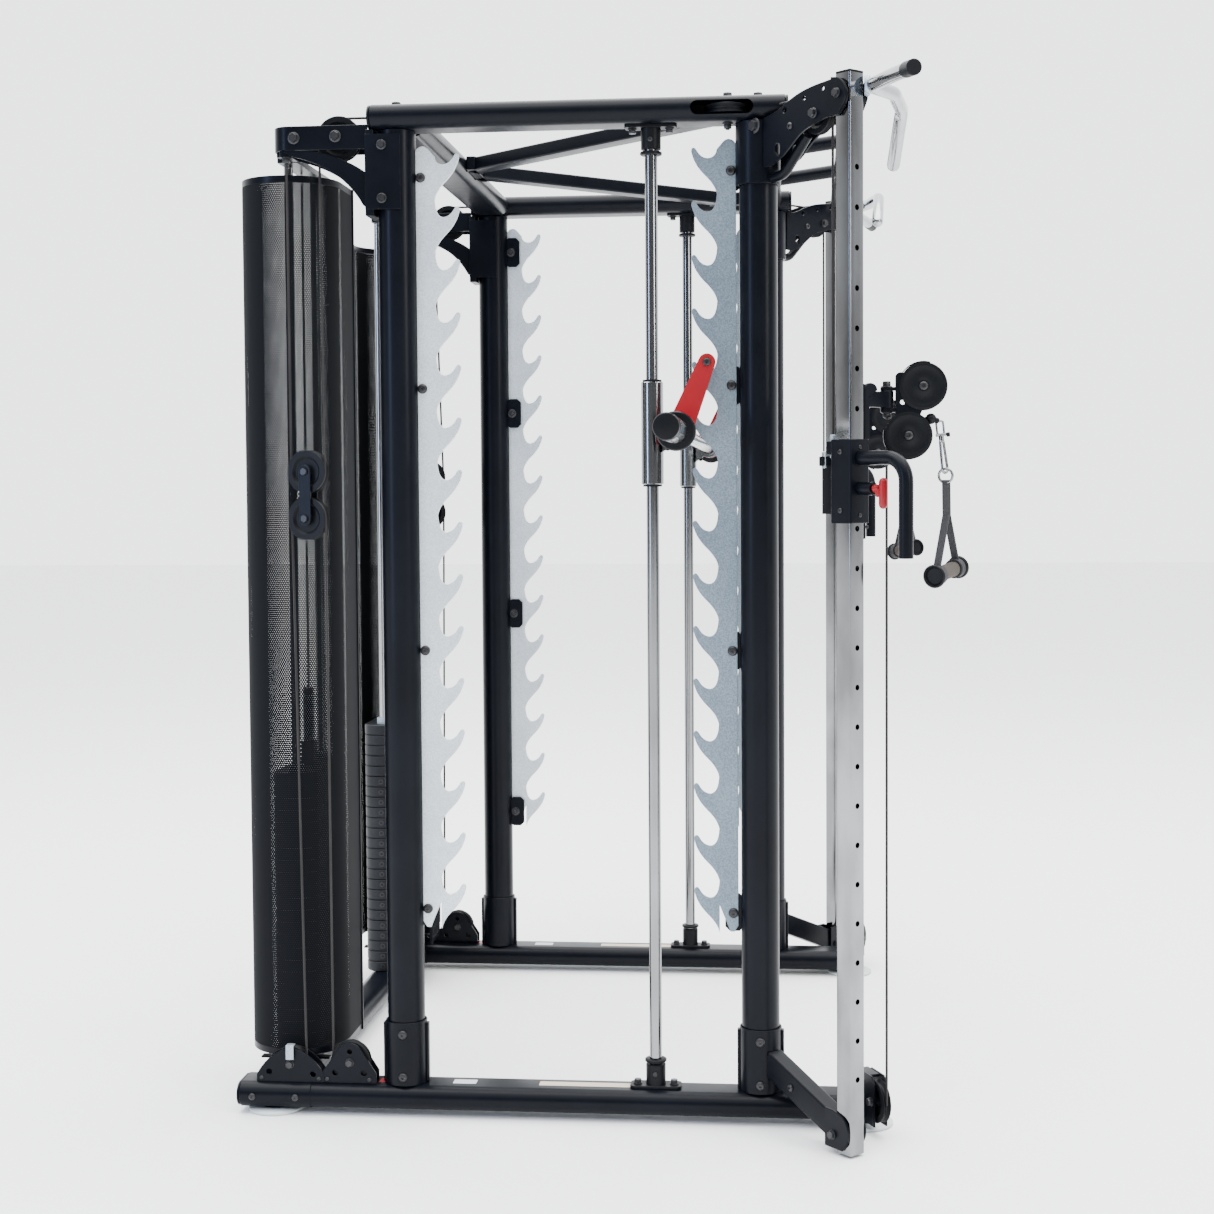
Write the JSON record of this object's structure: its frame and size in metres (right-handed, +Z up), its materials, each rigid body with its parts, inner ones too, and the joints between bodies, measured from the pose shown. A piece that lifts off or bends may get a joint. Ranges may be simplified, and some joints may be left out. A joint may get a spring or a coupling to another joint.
{
  "type": "cable crossover machine",
  "caption": "Rack frame with hook plates, a guided barbell on rods, and a cable post with a sliding carriage, swivel pulleys and a guarded weight stack on each side.",
  "frame": {"origin": "on the floor under the middle of the machine's bounding box", "axes": "+Z up; -Y toward the user, who stands in front; X from the left side frame to the right"},
  "size_m": [2.008, 1.4829, 2.053],
  "materials": {
    "black_frame": "satin black powder coat with a faint blue sheen",
    "chrome": "polished chrome plate",
    "zinc_plate": "pale blue-grey zinc plate, finely speckled",
    "red_paint": "glossy red",
    "black_plastic": "moulded black nylon",
    "grip_rubber": "textured brown-grey rubber",
    "foot": "pale grey moulded disc",
    "perforated_steel": "black sheet with close round holes",
    "weight_iron": "black painted plates",
    "cable": "black nylon-coated steel cable",
    "strap_webbing": "black woven webbing",
    "label": "plain blank label"
  },
  "bodies": {
    "frame": {"base_rail_left": "black_frame", "base_rail_right": "black_frame", "top_rail_left": "black_frame", "top_rail_right": "black_frame", "front_column_left": "black_frame", "front_column_right": "black_frame", "rear_column_left": "black_frame", "rear_column_right": "black_frame", "head_bracket_left": "black_frame", "head_bracket_right": "black_frame", "tower_frame_left": "black_frame", "tower_frame_right": "black_frame", "rear_base_beam": "black_frame", "rear_top_beam": "black_frame", "front_top_beam": "black_frame", "roof_brace": "black_frame", "front_foot_left": "foot", "front_foot_right": "foot", "rear_foot_left": "foot", "rear_foot_right": "foot", "cable_post_left": "chrome", "cable_post_right": "chrome", "chin_handle_left": "chrome", "chin_handle_right": "chrome", "smith_rod_left": "chrome", "smith_rod_right": "chrome", "front_hook_plate_left": "zinc_plate", "front_hook_plate_right": "zinc_plate", "rear_hook_plate_left": "zinc_plate", "rear_hook_plate_right": "zinc_plate", "head_cable_left": "cable", "head_cable_right": "cable", "handle_cable_left": "cable", "handle_cable_right": "cable", "weight_stack_left": "weight_iron", "weight_stack_right": "weight_iron", "stack_guard_left": "perforated_steel", "stack_guard_right": "perforated_steel"},
    "smith_slide": {"smith_slider_left": "chrome", "smith_slider_right": "chrome"},
    "smith_bar": {"smith_bar": "chrome"},
    "carriage_left": {"carriage_left": "black_frame"},
    "pull_pin_left": {"pull_pin_left": "red_paint"},
    "swivel_left": {"swivel_arm_left": "black_frame"},
    "upper_pulley_left": {"upper_swivel_pulley_left": "black_plastic"},
    "lower_pulley_left": {"lower_swivel_pulley_left": "black_plastic"},
    "head_pulley_left": {"head_pulley_left": "black_plastic"},
    "grip_left": {"grip_handle_left": "grip_rubber"},
    "lift_left": {"lift_head_left": "weight_iron"},
    "block_left": {"travelling_block_left": "black_plastic"},
    "carriage_right": {"carriage_right": "black_frame"},
    "pull_pin_right": {"pull_pin_right": "red_paint"},
    "swivel_right": {"swivel_arm_right": "black_frame"},
    "upper_pulley_right": {"upper_swivel_pulley_right": "black_plastic"},
    "lower_pulley_right": {"lower_swivel_pulley_right": "black_plastic"},
    "head_pulley_right": {"head_pulley_right": "black_plastic"},
    "grip_right": {"grip_handle_right": "grip_rubber"},
    "lift_right": {"lift_head_right": "weight_iron"},
    "block_right": {"travelling_block_right": "black_plastic"}
  },
  "joints": [
    {"name": "smith_slide", "type": "slide", "parent": "frame", "child": "smith_slide", "axis": [0, 0, 1], "range_m": [-1.15, 0.42]},
    {"name": "smith_turn", "type": "hinge", "parent": "smith_slide", "child": "smith_bar", "pos_m": [0, -0.1765, 1.389], "axis": [-1, 0, 0], "range_deg": [0, 33]},
    {"name": "carriage_slide_left", "type": "slide", "parent": "frame", "child": "carriage_left", "axis": [0, 0, 1], "range_m": [-1.05, 0.45], "deforming": ["head_cable_left", "handle_cable_left"]},
    {"name": "pin_pull_left", "type": "slide", "parent": "carriage_left", "child": "pull_pin_left", "axis": [-0.7071, -0.7071, 0], "range_m": [0, 0.012], "stiffness_N_per_m": 800, "springref_m": -0.005},
    {"name": "swivel_turn_left", "type": "hinge", "parent": "carriage_left", "child": "swivel_left", "pos_m": [-0.721, -0.5815, 1.445], "axis": [0, 0, 1], "range_deg": [-70, 70]},
    {"name": "upper_pulley_spin_left", "type": "hinge", "parent": "swivel_left", "child": "upper_pulley_left", "pos_m": [-0.721, -0.6505, 1.47], "axis": [1, 0, 0], "continuous": true},
    {"name": "lower_pulley_spin_left", "type": "hinge", "parent": "swivel_left", "child": "lower_pulley_left", "pos_m": [-0.721, -0.6225, 1.376], "axis": [1, 0, 0], "continuous": true},
    {"name": "head_pulley_spin_left", "type": "hinge", "parent": "frame", "child": "head_pulley_left", "pos_m": [-0.73186, -0.45407, 1.99], "axis": [-0.6717, 0.7408, 0], "continuous": true},
    {"name": "stack_lift_left", "type": "slide", "parent": "frame", "child": "lift_left", "axis": [0, 0, 1], "range_m": [0, 0.45]},
    {"name": "grip_pull_left", "type": "slide", "parent": "swivel_left", "child": "grip_left", "axis": [0, 0, -1], "range_m": [0, 0.9]},
    {"name": "block_slide_left", "type": "slide", "parent": "frame", "child": "block_left", "axis": [0, 0, 1], "range_m": [-0.225, 0.525]},
    {"name": "carriage_slide_right", "type": "slide", "parent": "frame", "child": "carriage_right", "axis": [0, 0, 1], "range_m": [-1.05, 0.45], "deforming": ["head_cable_right", "handle_cable_right"]},
    {"name": "pin_pull_right", "type": "slide", "parent": "carriage_right", "child": "pull_pin_right", "axis": [0.7071, -0.7071, 0], "range_m": [0, 0.012], "stiffness_N_per_m": 800, "springref_m": -0.005},
    {"name": "swivel_turn_right", "type": "hinge", "parent": "carriage_right", "child": "swivel_right", "pos_m": [0.721, -0.5815, 1.445], "axis": [0, 0, 1], "range_deg": [-70, 70]},
    {"name": "upper_pulley_spin_right", "type": "hinge", "parent": "swivel_right", "child": "upper_pulley_right", "pos_m": [0.721, -0.6505, 1.47], "axis": [1, 0, 0], "continuous": true},
    {"name": "lower_pulley_spin_right", "type": "hinge", "parent": "swivel_right", "child": "lower_pulley_right", "pos_m": [0.721, -0.6225, 1.376], "axis": [1, 0, 0], "continuous": true},
    {"name": "head_pulley_spin_right", "type": "hinge", "parent": "frame", "child": "head_pulley_right", "pos_m": [0.73186, -0.45407, 1.99], "axis": [0.6717, 0.7408, 0], "continuous": true},
    {"name": "stack_lift_right", "type": "slide", "parent": "frame", "child": "lift_right", "axis": [0, 0, 1], "range_m": [0, 0.45]},
    {"name": "grip_pull_right", "type": "slide", "parent": "swivel_right", "child": "grip_right", "axis": [0, 0, -1], "range_m": [0, 0.9]},
    {"name": "block_slide_right", "type": "slide", "parent": "frame", "child": "block_right", "axis": [0, 0, 1], "range_m": [-0.225, 0.525]}
  ],
  "couplings": [
    {"joint": "grip_pull_left", "follows": "stack_lift_left", "ratio": 2},
    {"joint": "block_slide_left", "follows": "carriage_slide_left", "ratio": -0.5},
    {"joint": "grip_pull_right", "follows": "stack_lift_right", "ratio": 2},
    {"joint": "block_slide_right", "follows": "carriage_slide_right", "ratio": -0.5}
  ]
}
